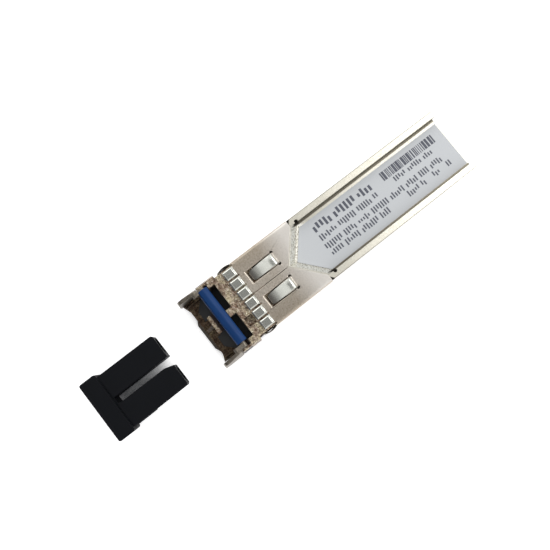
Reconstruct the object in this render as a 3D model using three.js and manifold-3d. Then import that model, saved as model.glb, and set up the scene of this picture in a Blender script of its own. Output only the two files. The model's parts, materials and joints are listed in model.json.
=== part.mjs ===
// Pluggable optical transceiver module, small form factor, with a swinging bail and a dust plug.
// Millimetres. X across the module, +Y towards the host connector, +Z up to the label side.
// The ports face -Y. The origin is on the underside plane, on the middle plane of the module.
import * as THREE from 'three';
import { ConvexGeometry } from 'three/addons/geometries/ConvexGeometry.js';
import { mergeVertices } from 'three/addons/utils/BufferGeometryUtils.js';
import Module from 'manifold-3d';

const wasm = await Module();
wasm.setup();

// ---- driving dimensions -------------------------------------------------------------------

// Body envelope
const REAR = 28.5;
const NOSE_FRONT = -29.6;
const BODY_HALF = 6.7;
const BODY_TOP = 8.5;
const BOTTOM_CHAMFER = 1.1;
const PARTING = 4.6;
const WALL = 0.9;
const FLOOR = 0.9;
const BAY_LENGTH = 10.4;
const SKIRT = 0.7;
const FAR = 40;
const SKIN_OVERLAP = 0.05;

// Cover and label recess
const RAIL_WIDTH = 1.23;
const RAIL_INNER = BODY_HALF - RAIL_WIDTH;
const RAIL_END_RADIUS = 0.55;
const RECESS_FLOOR = 6.7;
const ROOF = 6.1;
const FRONT_ROOF = 7.0;
const RAMP_LENGTH = 1.4;
const LABEL_THICKNESS = 0.1;
const LABEL_MARGIN = 0.65;
const LABEL_SHIFT = 0.25;
const LABEL_FRONT_MARGIN = 0.2;

// Sheet-metal collar
const SHEET = 0.2;
const COLLAR_HALF = 6.85;
const COLLAR_TOP = 8.6;
const COLLAR_FRONT = -19.1;
const COLLAR_REAR = -6.4;
const COLLAR_RADIUS = 0.6;
const V_TIP = -11.15;
const SEAM_GAP = 0.1;
const LAND_HALF = 6.6;
const LAND_BOTTOM = 0.25;
const LAND_TOP = 8.35;
const LAND_RADIUS = 0.35;

// Collar fingers and tongues
const FINGER_PITCH = 2.12;
const FINGER_WIDTH = 1.75;
const TOP_FINGERS = 6;
const SIDE_FINGER_LEVELS = [2.0, 4.3, 6.6];
const NOTCH_DEPTH = 0.3;
const TONGUE_X = 2.67;
const TONGUE_HALF = 1.05;
const WINDOW_HALF = 1.22;
const WINDOW_FRONT = -17.65;
const WINDOW_REAR = -12.0;
const SHEET_MIDDLE = COLLAR_TOP - SHEET / 2;

// Nose
const BLOCK_REAR = -16.2;
const NECK_FRONT = -22.6;
const NECK_HALF = 6.5;
const SHELF_HALF = 6.8;
const SHELF_TOP = 0.95;
const NECK_BOTTOM = 0.35;
const NOSE_TOP = 8.0;
const NOSE_HALF = 7.25;
const NOSE_CHAMFER = 0.35;
const NOSE_SHOULDER_Z = 6.4;
const NOSE_TOP_HALF = 6.85;
const WALL_FRONT = -26.4;
const CHEEK_HALF = 6.25;
const CHEEK_FRONT = -30.2;
const CHEEK_TOP = 3.8;

// Ports
const PORT_PITCH = 6.25;
const PORT_X = PORT_PITCH / 2;
const AXIS_Z = 4.2;
const PORT_HALF_SPAN = 5.55;
const PORT_BACK = -17.6;
const NOSE_FLOOR = 1.6;
const LINER = 0.3;
const LINER_TOP = NOSE_FLOOR + LINER;
const PORT_ROOF = 6.6;
const CUTOUT_REAR = -23.3;
const WEB_HALF = 0.7;
const DIVIDER_HALF = 0.3;
const DIVIDER_FRONT = -27.9;
const HEAD_HALF = 1.8;

// Bail
const BAIL_PIVOT_Y = -28.8;
const BAIL_PIVOT_Z = 2.2;
const BAR_Y = -25.6;
const BAR_Z = 8.0;
const ROD_RADIUS = 0.5;
const ARM_INNER = 6.35;
const ARM_OUTER = 7.38;
const ELBOW_OUTER = 7.0;
const ARM_TIP_OUTER = 6.7;
const EYE_RADIUS = 1.85;
const PIN_RADIUS = 0.6;
const PIN_CLEARANCE = 0.06;
const GRIP_LEFT = -6.05;
const GRIP_RIGHT = 5.35;

// Latch lever
const LEVER_PIVOT_Y = -23.5;
const LEVER_PIVOT_Z = 0.72;
const LEVER_HALF = 1.2;
const LEVER_BOTTOM = 0.22;
const LEVER_TOP = 0.85;
const LEVER_REAR = -13.8;
const LEVER_TAB_LEFT = -2.95;
const LEVER_TAB_RIGHT = 4.3;
const LEVER_TIP_LEFT = -2.1;
const LEVER_TIP_RIGHT = 3.2;
const LEVER_FRONT = -30.1;
const LEVER_PIN_RADIUS = 0.3;
const BOSS_SHOULDER = -16.5;
const BOSS_LENGTH = 2.6;
const BOSS_DROP = 0.45;
const SLOT_CLEARANCE = 0.2;
const SLOT_ROOF = 1.35;

// Optical sub-assemblies
const BARREL_RADIUS = 1.48;
const BARREL_FRONT = -21.8;
const BARREL_REAR = -13.6;
const BARREL_BORE = 0.95;
const BORE_END = -16.6;
const FLANGE_RADIUS = 2.62;
const FLANGE_FRONT = -15.2;
const CAN_RADIUS = 2.5;
const CAN_REAR = -9.2;
const HEADER_RADIUS = 1.85;
const SLEEVE_RADIUS = 0.9;
const SLEEVE_BORE = 0.63;
const STUB_RADIUS = 0.6;
const WALL_BORE = 1.62;

// Circuit board
const BOARD_BOTTOM = 2.25;
const BOARD_TOP = 3.25;
const BOARD_FRONT = -6.5;
const BOARD_REAR = 25.3;
const BOARD_HALF = 5.6;
const EDGE_HALF = 4.6;
const BOARD_STEP = 17.4;
const CONTACTS = 10;
const CONTACT_PITCH = 0.8;
const CONTACT_WIDTH = 0.55;
const CONTACT_LENGTH = 3.0;
const CONTACT_THICKNESS = 0.06;

// Dust plug, drawn pulled straight out of the ports
const PLUG_TRAVEL = 18.55;
const PLUG_SEAT = CHEEK_FRONT - 0.05 - PLUG_TRAVEL;
const PLUG_FLANGE = 3.2;
const FLANGE_HALF = 5.9;
const FLANGE_LOW = 1.4;
const FLANGE_HIGH = 7.0;
const PRONG_LENGTH = 11.5;
const PRONG_OUTER = 5.33;
const PRONG_HALF_HEIGHT = 2.15;
const SLIT_LEFT = -0.7;
const SLIT_RIGHT = 0.38;
const SLIT_MOUTH = 1.15;
const FLARE_LENGTH = 3.4;
const SLIT_DRAFT = 0.25;

// ---- shape helpers ------------------------------------------------------------------------

const CYCLE_X = new THREE.Matrix4().set(0, 0, 1, 0, 1, 0, 0, 0, 0, 1, 0, 0, 0, 0, 0, 1);
const CYCLE_Y = new THREE.Matrix4().set(0, 1, 0, 0, 0, 0, 1, 0, 1, 0, 0, 0, 0, 0, 0, 1);

// A closed three.js geometry as a solid that can be joined and cut.
function solid(geometry) {
  geometry.deleteAttribute('normal');
  geometry.deleteAttribute('uv');
  const welded = mergeVertices(geometry, 1e-5);
  return new wasm.Manifold(new wasm.Mesh({
    numProp: 3,
    vertProperties: new Float32Array(welded.attributes.position.array),
    triVerts: new Uint32Array(welded.index.array),
  }));
}

// The solid back as a flat-shaded three.js geometry.
function geometryOf(body) {
  const mesh = body.getMesh();
  const geometry = new THREE.BufferGeometry();
  geometry.setAttribute('position', new THREE.BufferAttribute(new Float32Array(mesh.vertProperties), 3));
  geometry.setIndex(new THREE.BufferAttribute(new Uint32Array(mesh.triVerts), 1));
  const flat = geometry.toNonIndexed();
  flat.computeVertexNormals();
  return flat;
}

function box(x0, x1, y0, y1, z0, z1) {
  const geometry = new THREE.BoxGeometry(x1 - x0, y1 - y0, z1 - z0);
  geometry.translate((x0 + x1) / 2, (y0 + y1) / 2, (z0 + z1) / 2);
  return solid(geometry);
}

// A box centred on the middle plane.
function middleBox(half, y0, y1, z0, z1) {
  return box(-half, half, y0, y1, z0, z1);
}

function shapeOf(points) {
  return new THREE.Shape(points.map(([u, v]) => new THREE.Vector2(u, v)));
}

function extrude(shape, length) {
  return new THREE.ExtrudeGeometry(shape, { depth: length, bevelEnabled: false, curveSegments: 8 });
}

// Points are (y, z); the outline is swept from x0 to x1.
function prismX(points, x0, x1) {
  const geometry = extrude(shapeOf(points), x1 - x0);
  geometry.applyMatrix4(CYCLE_X);
  geometry.translate(x0, 0, 0);
  return solid(geometry);
}

// Points are (x, z); the outline is swept from y0 to y1.
function prismY(points, y0, y1) {
  const geometry = extrude(shapeOf(points.map(([x, z]) => [z, x])), y1 - y0);
  geometry.applyMatrix4(CYCLE_Y);
  geometry.translate(0, y0, 0);
  return solid(geometry);
}

// Points are (x, y); the outline is swept from z0 to z1.
function prismZ(points, z0, z1) {
  const geometry = extrude(shapeOf(points), z1 - z0);
  geometry.translate(0, 0, z0);
  return solid(geometry);
}

function arc(cu, cv, radius, from, to, steps) {
  const points = [];
  for (let i = 0; i <= steps; i += 1) {
    const angle = THREE.MathUtils.degToRad(from + (to - from) * i / steps);
    points.push([cu + radius * Math.cos(angle), cv + radius * Math.sin(angle)]);
  }
  return points;
}

function roundedRect(u0, u1, v0, v1, radius, steps = 4) {
  return [
    ...arc(u1 - radius, v0 + radius, radius, -90, 0, steps),
    ...arc(u1 - radius, v1 - radius, radius, 0, 90, steps),
    ...arc(u0 + radius, v1 - radius, radius, 90, 180, steps),
    ...arc(u0 + radius, v0 + radius, radius, 180, 270, steps),
  ];
}

function chamferedRect(u0, u1, v0, v1, cut) {
  return [
    [u0 + cut, v0], [u1 - cut, v0], [u1, v0 + cut], [u1, v1 - cut],
    [u1 - cut, v1], [u0 + cut, v1], [u0, v1 - cut], [u0, v0 + cut],
  ];
}

// A round bar along X, Y or Z made by sweeping a circle.
function barX(y, z, radius, x0, x1, steps = 24) {
  return prismX(arc(y, z, radius, 0, 360 - 360 / steps, steps - 1), x0, x1);
}

function barY(x, z, radius, y0, y1, steps = 32) {
  return prismY(arc(x, z, radius, 0, 360 - 360 / steps, steps - 1), y0, y1);
}

// The hull of upright discs that each have their own inner and outer face, mirrored by the side.
function leaningPlate(discs, side) {
  const points = [];
  for (const [y, z, radius, inner, outer] of discs) {
    for (const [py, pz] of arc(y, z, radius, 0, 345, 23)) {
      points.push(new THREE.Vector3(side * inner, py, pz));
      points.push(new THREE.Vector3(side * outer, py, pz));
    }
  }
  return solid(new ConvexGeometry(points));
}

// The hull of round discs lying in the (y, z) plane, between x0 and x1.
function plateOfDiscs(discs, x0, x1) {
  const points = [];
  for (const [y, z, radius] of discs) {
    for (const [py, pz] of arc(y, z, radius, 0, 345, 23)) {
      points.push(new THREE.Vector3(x0, py, pz));
      points.push(new THREE.Vector3(x1, py, pz));
    }
  }
  return solid(new ConvexGeometry(points));
}

// The solid between an outline (x, y) at z0 and a matching outline at z1.
function taper(lower, z0, upper, z1) {
  const points = [
    ...lower.map(([x, y]) => new THREE.Vector3(x, y, z0)),
    ...upper.map(([x, y]) => new THREE.Vector3(x, y, z1)),
  ];
  return solid(new ConvexGeometry(points));
}

// A strip of sheet whose middle line runs smoothly through the given points.
function stripOutline(points, thickness, samples = 12) {
  const curve = new THREE.SplineCurve(points.map(([u, v]) => new THREE.Vector2(u, v)));
  const left = [];
  const right = [];
  for (let i = 0; i <= samples; i += 1) {
    const at = curve.getPoint(i / samples);
    const along = curve.getTangent(i / samples);
    const side = new THREE.Vector2(-along.y, along.x).multiplyScalar(thickness / 2);
    left.push([at.x + side.x, at.y + side.y]);
    right.unshift([at.x - side.x, at.y - side.y]);
  }
  return [...left, ...right];
}

function join(parts) {
  return parts.reduce((whole, part) => whole.add(part));
}

function cut(body, tools) {
  return tools.reduce((left, tool) => left.subtract(tool), body);
}

function piece(name, body, material) {
  const mesh = new THREE.Mesh(geometryOf(body), material);
  mesh.name = name;
  return mesh;
}

// ---- materials ----------------------------------------------------------------------------

function finish(color, roughness, metalness) {
  return new THREE.MeshStandardMaterial({ color, roughness, metalness });
}

const castMetal = () => finish('#a79f92', 0.55, 0.85);
const coverMetal = () => finish('#b5b0a6', 0.45, 0.85);
const collarSteel = () => finish('#aaa49b', 0.3, 0.9);
const labelFilm = () => finish('#cfd1d3', 0.45, 0.1);
const bailSteel = () => finish('#77736b', 0.4, 0.85);
const bluePlastic = () => finish('#1f4f9c', 0.45, 0.0);
const blackPlastic = () => finish('#1b1d20', 0.6, 0.0);
const plugRubber = () => finish('#181b21', 0.75, 0.0);
const goldPlating = () => finish('#c9a24a', 0.3, 0.95);
const turnedSteel = () => finish('#b9b7b2', 0.25, 0.95);
const whiteCeramic = () => finish('#eceae4', 0.35, 0.0);
const boardLaminate = () => finish('#2d5a3a', 0.5, 0.0);
const amberFilm = () => finish('#a8702a', 0.5, 0.0);
const chipResin = () => finish('#22242a', 0.6, 0.0);
const capacitorBody = () => finish('#9a8468', 0.5, 0.0);
const padSilicone = () => finish('#8d9ba6', 0.85, 0.0);
const springSteel = () => finish('#c2c0ba', 0.25, 0.95);

// ---- shared cutting shapes ----------------------------------------------------------------

// The spring tongues dip into these hollows.
function tonguePockets() {
  const front = WINDOW_FRONT - 0.2;
  const rear = WINDOW_REAR - 2.4;
  const half = WINDOW_HALF + 0.1;
  const depth = 7.4;
  return [-TONGUE_X, TONGUE_X].map((x) => box(x - half, x + half, front, rear, depth, FAR));
}

// The V-fronted outline of the label recess, pulled in from the edge by the margins given.
function recessOutline(side, front) {
  const slope = (COLLAR_REAR - V_TIP) / RAIL_INNER;
  const shift = front * Math.sqrt(1 + slope * slope);
  const half = RAIL_INNER - side;
  return [
    [-half, FAR],
    [half, FAR],
    [half, COLLAR_REAR - slope * side + shift],
    [0, V_TIP + shift],
    [-half, COLLAR_REAR - slope * side + shift],
  ];
}

// ---- die-cast housing ---------------------------------------------------------------------

function bodyProfile(top) {
  return [
    [-BODY_HALF + BOTTOM_CHAMFER, 0],
    [BODY_HALF - BOTTOM_CHAMFER, 0],
    [BODY_HALF, BOTTOM_CHAMFER],
    [BODY_HALF, top],
    [-BODY_HALF, top],
    [-BODY_HALF, BOTTOM_CHAMFER],
  ];
}

function landBar(y0, y1) {
  return prismY(roundedRect(-LAND_HALF, LAND_HALF, LAND_BOTTOM, LAND_TOP, LAND_RADIUS, 3), y0, y1);
}

function tray() {
  const collarEnd = COLLAR_REAR + SKIN_OVERLAP;
  const shell = join([
    prismY(bodyProfile(PARTING), collarEnd, REAR),
    cut(landBar(BLOCK_REAR - 1, collarEnd + 0.5), [middleBox(FAR, BLOCK_REAR, FAR, PARTING, FAR)]),
  ]);
  const inner = BODY_HALF - WALL;
  const bayHalf = BODY_HALF - SKIRT;
  const hollow = cut(shell, [
    middleBox(inner, BLOCK_REAR, REAR - BAY_LENGTH, FLOOR, FAR),
    middleBox(bayHalf, REAR - BAY_LENGTH, FAR, -FAR, FAR),
  ]);
  const ledgeInner = 4.9;
  const ledge = (x0, x1) => box(x0, x1, BOARD_FRONT + 0.5, REAR - BAY_LENGTH - 0.6, FLOOR - 0.2, BOARD_BOTTOM);
  return join([hollow, ledge(-inner - 0.1, -ledgeInner), ledge(ledgeInner, inner + 0.1)]);
}

// The notch that clears the bail's rod at the top of each side wall.
function rodNotches() {
  const notchInner = PORT_HALF_SPAN - 0.2;
  const notchOuter = ARM_INNER + 0.08;
  const bottom = BAR_Z - 1.0;
  const rear = BAR_Y + 1.15;
  return [
    box(notchInner, notchOuter, WALL_FRONT - 1, rear, bottom, FAR),
    box(-notchOuter, -notchInner, WALL_FRONT - 1, rear, bottom, FAR),
  ];
}

function noseBlock() {
  const cheek = prismX([
    [CHEEK_FRONT, 0.3], [CHEEK_FRONT + 0.3, 0], [WALL_FRONT + 0.5, 0], [WALL_FRONT + 0.5, CHEEK_TOP],
    [BAIL_PIVOT_Y - 0.2, CHEEK_TOP], [CHEEK_FRONT, CHEEK_TOP - 0.9],
  ], -CHEEK_HALF, CHEEK_HALF);
  const noseSection = [
    [-NOSE_HALF + NOSE_CHAMFER, 0], [NOSE_HALF - NOSE_CHAMFER, 0], [NOSE_HALF, NOSE_CHAMFER],
    [NOSE_HALF, NOSE_SHOULDER_Z], [NOSE_TOP_HALF, NOSE_TOP], [-NOSE_TOP_HALF, NOSE_TOP],
    [-NOSE_HALF, NOSE_SHOULDER_Z], [-NOSE_HALF, NOSE_CHAMFER],
  ];
  const flatHalf = 4.8;
  const frontTrim = prismZ([
    [-CHEEK_HALF - 0.1, CHEEK_FRONT - 1], [CHEEK_HALF + 0.1, CHEEK_FRONT - 1], [CHEEK_HALF + 0.1, CHEEK_FRONT],
    [flatHalf, NOSE_FRONT], [-flatHalf, NOSE_FRONT], [-CHEEK_HALF - 0.1, CHEEK_FRONT],
  ], -FAR, FAR);
  return join([
    landBar(COLLAR_FRONT - SKIN_OVERLAP, BLOCK_REAR),
    prismY(chamferedRect(-NECK_HALF, NECK_HALF, NECK_BOTTOM, NOSE_TOP, 0.3), NECK_FRONT - 0.5, COLLAR_FRONT + 0.5),
    prismY(noseSection, WALL_FRONT, NECK_FRONT),
    middleBox(SHELF_HALF, NECK_FRONT - 0.3, COLLAR_FRONT - 0.05, NECK_BOTTOM, SHELF_TOP),
    cut(cheek, [frontTrim]),
  ]);
}

// The wall between the ports: a web at the top, a thin blade and a sloping front tongue.
function portDivider() {
  const barClear = BAR_Y + 1.05;
  const web = middleBox(WEB_HALF, barClear, CUTOUT_REAR + 0.2, PORT_ROOF - 0.05, NOSE_TOP);
  const head = middleBox(HEAD_HALF, DIVIDER_FRONT, BAR_Y - 1.15, PORT_ROOF - 0.05, PORT_ROOF + 0.4);
  const blade = middleBox(DIVIDER_HALF, DIVIDER_FRONT, PORT_BACK + 0.2, LINER_TOP, PORT_ROOF + 0.1);
  const tongue = prismX([
    [NOSE_FRONT + 0.3, NOSE_FLOOR - 0.1], [DIVIDER_FRONT + 0.1, NOSE_FLOOR - 0.1],
    [DIVIDER_FRONT + 0.1, 5.0], [NOSE_FRONT + 0.3, 2.8],
  ], -DIVIDER_HALF, DIVIDER_HALF);
  return join([web, head, blade, tongue]);
}

function leverSlot() {
  const half = LEVER_HALF + SLOT_CLEARANCE;
  const tabHalf = LEVER_TAB_RIGHT + SLOT_CLEARANCE;
  return join([
    middleBox(half, LEVER_PIVOT_Y - 1.5, PORT_BACK + 0.1, -FAR, SLOT_ROOF),
    middleBox(half, PORT_BACK, LEVER_REAR + 0.5, -FAR, FLOOR + 1.0),
    middleBox(tabHalf, NOSE_FRONT - 1, LEVER_PIVOT_Y - 1.0, -FAR, SLOT_ROOF),
  ]);
}

function housing() {
  const portSpace = middleBox(PORT_HALF_SPAN, NOSE_FRONT - 1, PORT_BACK, NOSE_FLOOR, PORT_ROOF);
  const cutouts = middleBox(PORT_HALF_SPAN, NOSE_FRONT - 1, CUTOUT_REAR, PORT_ROOF - 0.1, FAR);
  const bore = (x) => barY(x, AXIS_Z, WALL_BORE, PORT_BACK - 1, BLOCK_REAR + 1);
  const bailPinHole = barX(BAIL_PIVOT_Y, BAIL_PIVOT_Z, PIN_RADIUS + 0.01, -FAR, FAR);
  const leverPinHole = barX(LEVER_PIVOT_Y, LEVER_PIVOT_Z, LEVER_PIN_RADIUS + 0.01, -2.6, 2.6, 16);
  const pryPocket = box(2.4, 4.2, -22.9, -21.4, NOSE_TOP - 1.3, FAR);
  const cheekSlot = (x) => box(x - 0.12, x + 0.12, -29.5, -27.9, CHEEK_TOP - 0.8, FAR);
  const open = cut(noseBlock(), [
    portSpace, cutouts, pryPocket, cheekSlot(-5.88), cheekSlot(5.88), ...rodNotches(),
  ]);
  return cut(join([open, portDivider(), tray()]), [
    bore(-PORT_X), bore(PORT_X), bailPinHole, leverSlot(), leverPinHole, ...tonguePockets(),
  ]);
}

// ---- cover --------------------------------------------------------------------------------

// A small pit at the inner edge of a rail, just behind the collar.
function railPit(side) {
  const depth = 1.2;
  return prismZ(arc(side * (RAIL_INNER + 0.15), COLLAR_REAR + 1.45, 0.35, 0, 330, 11), BODY_TOP - depth, FAR);
}

function cover() {
  const front = BLOCK_REAR + 0.1;
  const inner = BODY_HALF - WALL;
  const railPlan = [
    ...arc(BODY_HALF - RAIL_END_RADIUS, REAR - RAIL_END_RADIUS, RAIL_END_RADIUS, 0, 90, 4),
    ...arc(-BODY_HALF + RAIL_END_RADIUS, REAR - RAIL_END_RADIUS, RAIL_END_RADIUS, 90, 180, 4),
    [-BODY_HALF, COLLAR_REAR + SKIN_OVERLAP],
    [BODY_HALF, COLLAR_REAR + SKIN_OVERLAP],
  ];
  const block = join([
    prismZ(railPlan, PARTING, BODY_TOP),
    cut(landBar(front, COLLAR_REAR + 0.5), [middleBox(FAR, -FAR, FAR, -FAR, PARTING)]),
  ]);
  const recess = taper(recessOutline(0, RAMP_LENGTH), RECESS_FLOOR, recessOutline(0, 0), LAND_TOP + 0.3);
  const shell = cut(block, [
    recess,
    middleBox(inner, front - 1, V_TIP - 0.5, -FAR, FRONT_ROOF),
    middleBox(inner, front - 1, FAR, -FAR, ROOF),
    ...tonguePockets(),
    railPit(-1),
    railPit(1),
  ]);
  const post = (x, y) => box(x - 0.35, x + 0.35, y, y + 1.2, BOARD_TOP, ROOF + 0.1);
  return join([shell, post(-5.2, -4.6), post(5.2, -4.6), post(-5.2, 14.4), post(5.2, 14.4)]);
}

function label() {
  const outline = recessOutline(LABEL_MARGIN, RAMP_LENGTH + LABEL_FRONT_MARGIN);
  outline[0][1] = REAR - 0.3;
  outline[1][1] = REAR - 0.3;
  const shifted = outline.map(([x, y]) => [x + LABEL_SHIFT, y]);
  return prismZ(shifted, RECESS_FLOOR, RECESS_FLOOR + LABEL_THICKNESS);
}

// ---- collar -------------------------------------------------------------------------------

// A section across a strip whose upper corners are rolled down.
function crownedSection(x, half, top) {
  const roll = 0.2;
  const drop = 0.13;
  return [
    [x - half, 0], [x + half, 0], [x + half, top - drop], [x + half - roll, top],
    [x - half + roll, top], [x - half, top - drop],
  ];
}

function topFinger(x) {
  const outline = [
    [COLLAR_FRONT + 0.2, COLLAR_TOP], [COLLAR_FRONT - 0.02, COLLAR_TOP],
    [COLLAR_FRONT - 0.27, COLLAR_TOP + 0.2], [COLLAR_FRONT - 1.9, COLLAR_TOP + 0.2],
    [COLLAR_FRONT - 2.1, COLLAR_TOP - 0.02], [COLLAR_FRONT - 2.15, COLLAR_TOP - 0.25],
    [COLLAR_FRONT - 1.95, COLLAR_TOP - 0.25], [COLLAR_FRONT - 1.93, COLLAR_TOP - 0.1],
    [COLLAR_FRONT - 1.82, COLLAR_TOP], [COLLAR_FRONT - 0.2, COLLAR_TOP],
    [COLLAR_FRONT + 0.05, COLLAR_TOP - 0.2], [COLLAR_FRONT + 0.2, COLLAR_TOP - 0.2],
  ];
  const half = FINGER_WIDTH / 2;
  const strip = prismX(outline, x - half, x + half);
  return strip.intersect(prismY(crownedSection(x, half, COLLAR_TOP + 0.2), -FAR, FAR));
}

function bottomFinger(x) {
  const line = [
    [COLLAR_FRONT + 0.2, SHEET / 2], [COLLAR_FRONT - 0.4, SHEET / 2 - 0.15],
    [COLLAR_FRONT - 1.1, SHEET / 2 - 0.15], [COLLAR_FRONT - 1.85, SHEET / 2 + 0.1],
  ];
  return prismX(stripOutline(line, SHEET), x - FINGER_WIDTH / 2, x + FINGER_WIDTH / 2);
}

function sideFinger(side, level) {
  const middle = COLLAR_HALF - SHEET / 2;
  const line = [
    [COLLAR_FRONT + 0.2, middle], [COLLAR_FRONT - 0.6, middle + 0.22], [COLLAR_FRONT - 1.4, middle + 0.25],
    [COLLAR_FRONT - 2.2, middle + 0.08], [COLLAR_FRONT - 2.75, middle - 0.08],
  ];
  const outline = stripOutline(line, SHEET).map(([y, x]) => [side * x, y]);
  return prismZ(outline, level - FINGER_WIDTH / 2, level + FINGER_WIDTH / 2);
}

function tongue(x) {
  const line = [
    [WINDOW_REAR + 0.3, SHEET_MIDDLE], [WINDOW_REAR, SHEET_MIDDLE],
    [WINDOW_REAR - 0.15, SHEET_MIDDLE + 0.1], [WINDOW_REAR - 0.35, SHEET_MIDDLE + 0.32],
    [WINDOW_REAR - 0.5, SHEET_MIDDLE + 0.4], [WINDOW_REAR - 0.8, SHEET_MIDDLE + 0.43],
    [WINDOW_REAR - 1.1, SHEET_MIDDLE + 0.43], [WINDOW_REAR - 1.4, SHEET_MIDDLE + 0.395],
    [WINDOW_REAR - 1.8, SHEET_MIDDLE + 0.32], [WINDOW_REAR - 2.3, SHEET_MIDDLE + 0.21],
    [WINDOW_REAR - 2.8, SHEET_MIDDLE + 0.085], [WINDOW_REAR - 3.3, SHEET_MIDDLE - 0.055],
    [WINDOW_REAR - 3.8, SHEET_MIDDLE - 0.21], [WINDOW_REAR - 4.3, SHEET_MIDDLE - 0.38],
    [WINDOW_REAR - 4.8, SHEET_MIDDLE - 0.57], [WINDOW_REAR - 5.5, SHEET_MIDDLE - 0.85],
  ];
  const strip = prismX(stripOutline(line, SHEET, 36), x - TONGUE_HALF, x + TONGUE_HALF);
  const endY = WINDOW_FRONT + 0.2;
  const plan = [
    [x - TONGUE_HALF, WINDOW_REAR + 1], ...arc(x - TONGUE_HALF + 0.7, endY + 0.7, 0.7, 180, 270, 4),
    ...arc(x + TONGUE_HALF - 0.7, endY + 0.7, 0.7, 270, 360, 4), [x + TONGUE_HALF, WINDOW_REAR + 1],
  ];
  return strip.intersect(prismZ(plan, 0, FAR));
}

function collarWindow(x) {
  const relief = 0.32;
  const rim = 0.14;
  const frontRim = 0.3;
  const outline = (side, front) => [
    [x - side, front], [x + side, front], [x + side, WINDOW_REAR - 0.5], [x - side, WINDOW_REAR - 0.5],
  ];
  return join([
    taper(
      outline(WINDOW_HALF, WINDOW_FRONT),
      COLLAR_TOP - SHEET * 0.8,
      outline(WINDOW_HALF + rim, WINDOW_FRONT - frontRim),
      COLLAR_TOP + 0.01,
    ),
    box(x - WINDOW_HALF, x + WINDOW_HALF, WINDOW_FRONT, WINDOW_REAR, COLLAR_TOP - 1, FAR),
    barPost(x - WINDOW_HALF, WINDOW_REAR, relief),
    barPost(x + WINDOW_HALF, WINDOW_REAR, relief),
  ]);
}

// A short upright round cutter through the top sheet.
function barPost(x, y, radius) {
  return prismZ(arc(x, y, radius, 0, 330, 11), COLLAR_TOP - 1, FAR);
}

// Slits between the fingers, run a little way back into the sheet.
function fingerNotches() {
  const notches = [];
  const half = (FINGER_PITCH - FINGER_WIDTH) / 2;
  for (let i = 0; i <= TOP_FINGERS; i += 1) {
    const x = (i - TOP_FINGERS / 2) * FINGER_PITCH;
    notches.push(box(x - half, x + half, COLLAR_FRONT - 1, COLLAR_FRONT + NOTCH_DEPTH, COLLAR_TOP - 1, FAR));
  }
  return notches;
}

function collar() {
  const outer = prismY(roundedRect(-COLLAR_HALF, COLLAR_HALF, 0, COLLAR_TOP, COLLAR_RADIUS), COLLAR_FRONT, COLLAR_REAR);
  const innerHalf = COLLAR_HALF - SHEET;
  const innerRadius = COLLAR_RADIUS - SHEET;
  const inner = prismY(
    roundedRect(-innerHalf, innerHalf, SHEET, COLLAR_TOP - SHEET, innerRadius),
    COLLAR_FRONT - 1,
    COLLAR_REAR + 1,
  );
  const notchV = prismZ([[-RAIL_INNER, COLLAR_REAR], [0, V_TIP], [RAIL_INNER, COLLAR_REAR],
    [RAIL_INNER, 0], [-RAIL_INNER, 0]], COLLAR_TOP - 1, FAR);
  const seam = middleBox(SEAM_GAP / 2, COLLAR_FRONT - 1, V_TIP + 1, COLLAR_TOP - 1, FAR);
  const leverOpening = middleBox(LEVER_HALF + 0.45, COLLAR_FRONT - 1, LEVER_REAR + 0.7, -1, SHEET + 0.2);
  const sheet = cut(outer, [
    inner, notchV, seam, leverOpening, ...fingerNotches(),
    collarWindow(-TONGUE_X), collarWindow(TONGUE_X),
  ]);
  const fingers = [];
  for (let i = 0; i < TOP_FINGERS; i += 1) {
    fingers.push(topFinger((i - (TOP_FINGERS - 1) / 2) * FINGER_PITCH));
  }
  for (const x of [-2.5, -1.5, 1.5, 2.5]) {
    fingers.push(bottomFinger(x * FINGER_PITCH));
  }
  for (const level of SIDE_FINGER_LEVELS) {
    fingers.push(sideFinger(-1, level), sideFinger(1, level));
  }
  return join([sheet, ...fingers, tongue(-TONGUE_X), tongue(TONGUE_X)]);
}

// ---- receptacle liner ---------------------------------------------------------------------

function liner() {
  const half = PORT_HALF_SPAN - 0.05;
  const rear = PORT_BACK - 0.05;
  const front = NOSE_FRONT + 1.1;
  const floor = prismZ([
    [-half, rear], [-half, front + 1.5], [-half + 1.6, front], [half - 1.6, front], [half, front + 1.5], [half, rear],
  ], NOSE_FLOOR, LINER_TOP);
  const backPlate = (x0, x1) => box(x0, x1, rear - 0.4, rear, LINER_TOP - 0.1, PORT_ROOF - 0.2);
  const hole = (x) => barY(x, AXIS_Z, WALL_BORE, rear - 1, rear + 1);
  const inner = DIVIDER_HALF + 0.1;
  const frontNotch = middleBox(HEAD_HALF, NOSE_FRONT - 1, DIVIDER_FRONT + 0.2, 0, FAR);
  return cut(join([floor, backPlate(-half, -inner), backPlate(inner, half)]), [
    hole(-PORT_X), hole(PORT_X), frontNotch,
  ]);
}

// ---- bail ---------------------------------------------------------------------------------

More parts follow.
